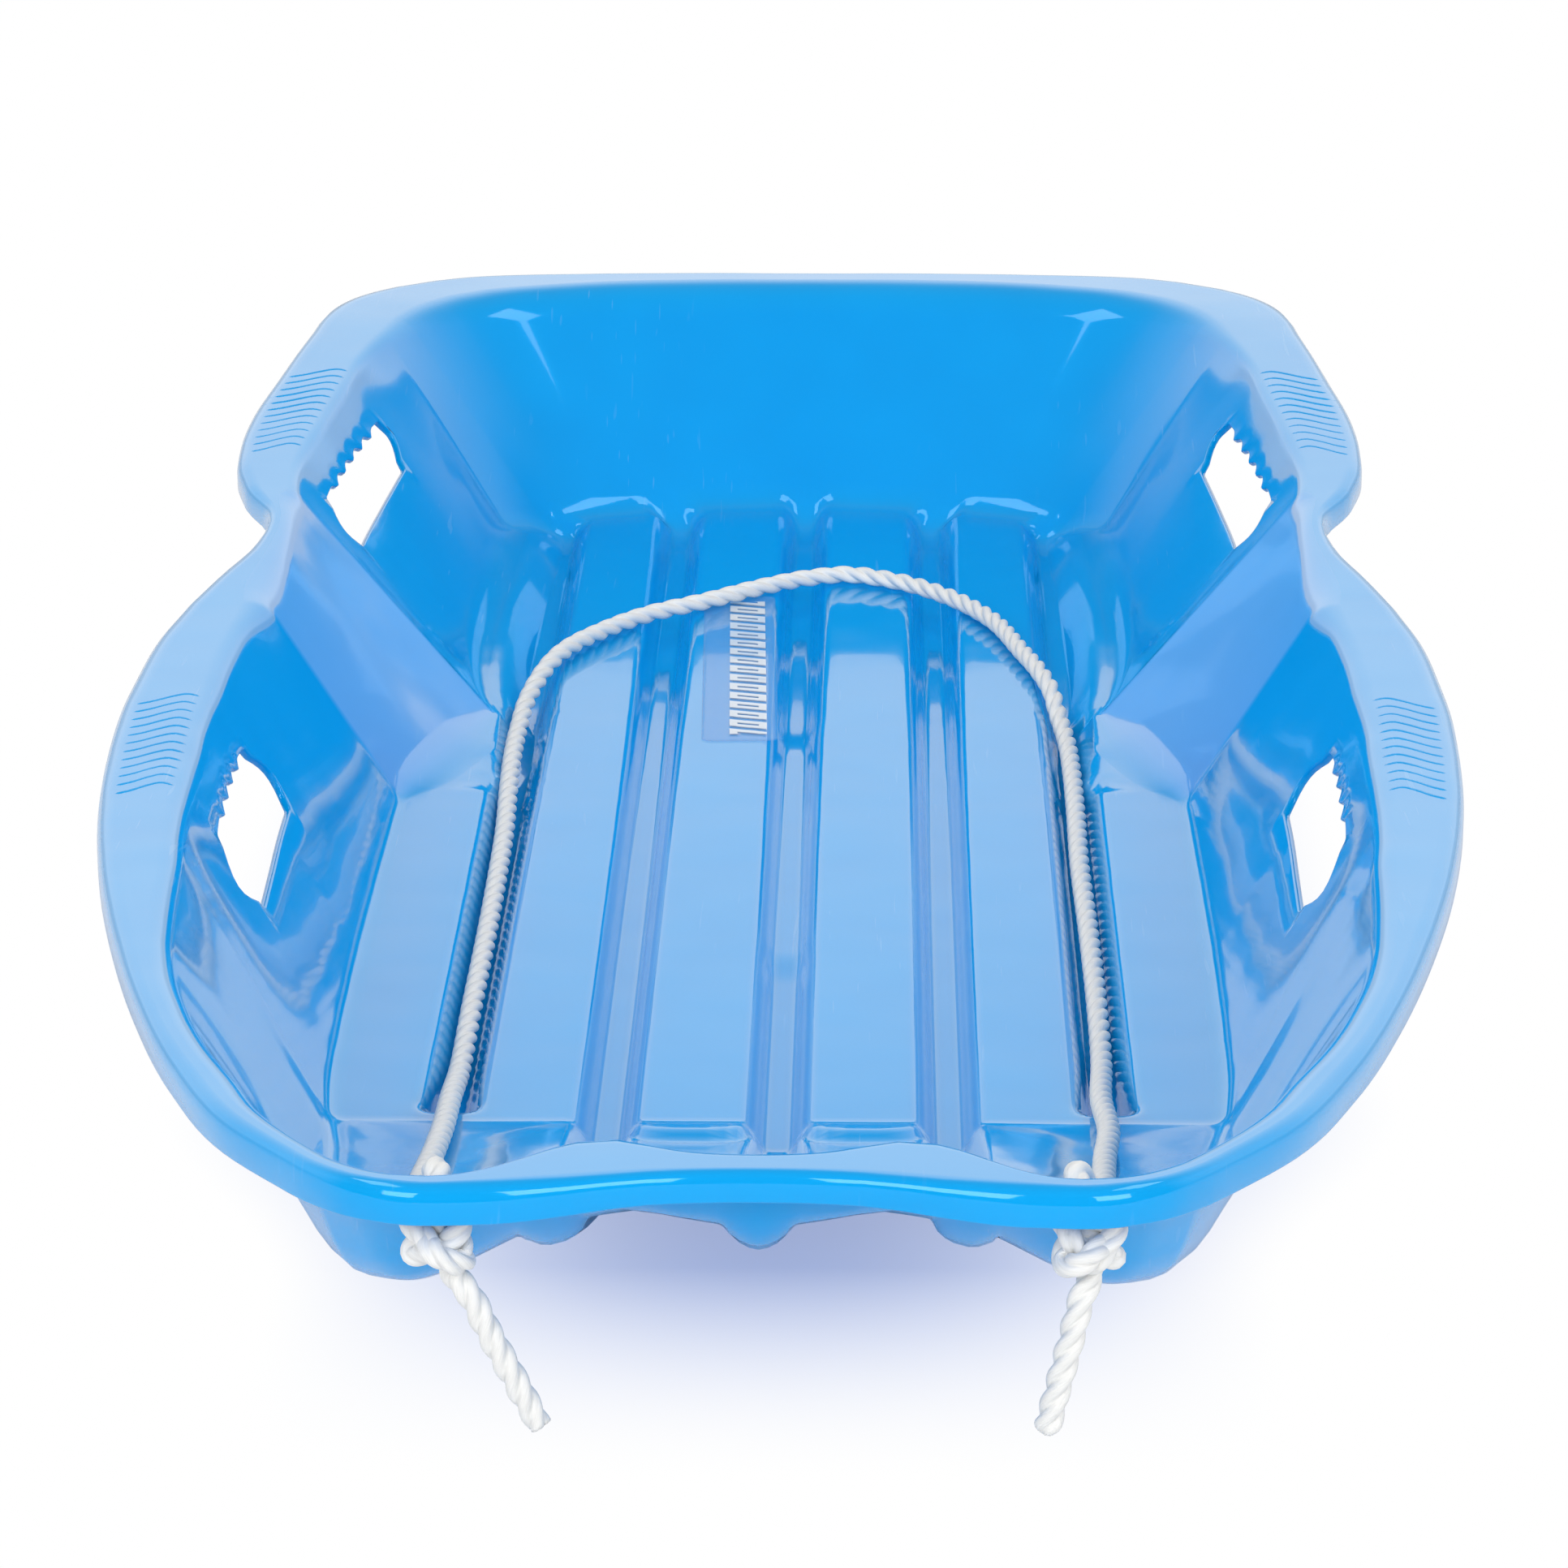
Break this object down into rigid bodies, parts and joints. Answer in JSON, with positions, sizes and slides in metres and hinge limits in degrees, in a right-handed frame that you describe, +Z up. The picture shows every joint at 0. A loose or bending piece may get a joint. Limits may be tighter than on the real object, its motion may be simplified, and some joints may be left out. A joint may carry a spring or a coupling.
{
  "type": "toboggan sled",
  "caption": "Moulded plastic toboggan with a turned-down rim, waisted sides, hand slots, grooved runner floor, upswept nose and a knotted twisted pull rope",
  "frame": {"origin": "on the ground under the middle of the tray", "axes": "+Y runs from the nose to the tail, +X to the right seen from the nose, +Z up"},
  "size_m": [0.49, 1.2007, 0.1398],
  "materials": {
    "azure_plastic": "gloss",
    "white_rope": "matte",
    "clear_film": "gloss"
  },
  "bodies": {
    "root": {"shell": "azure_plastic", "rope_bow": "white_rope", "rope_knot_left": "white_rope", "rope_knot_right": "white_rope", "rope_tail_left": "white_rope", "rope_tail_right": "white_rope", "label_film": "clear_film"}
  },
  "joints": []
}
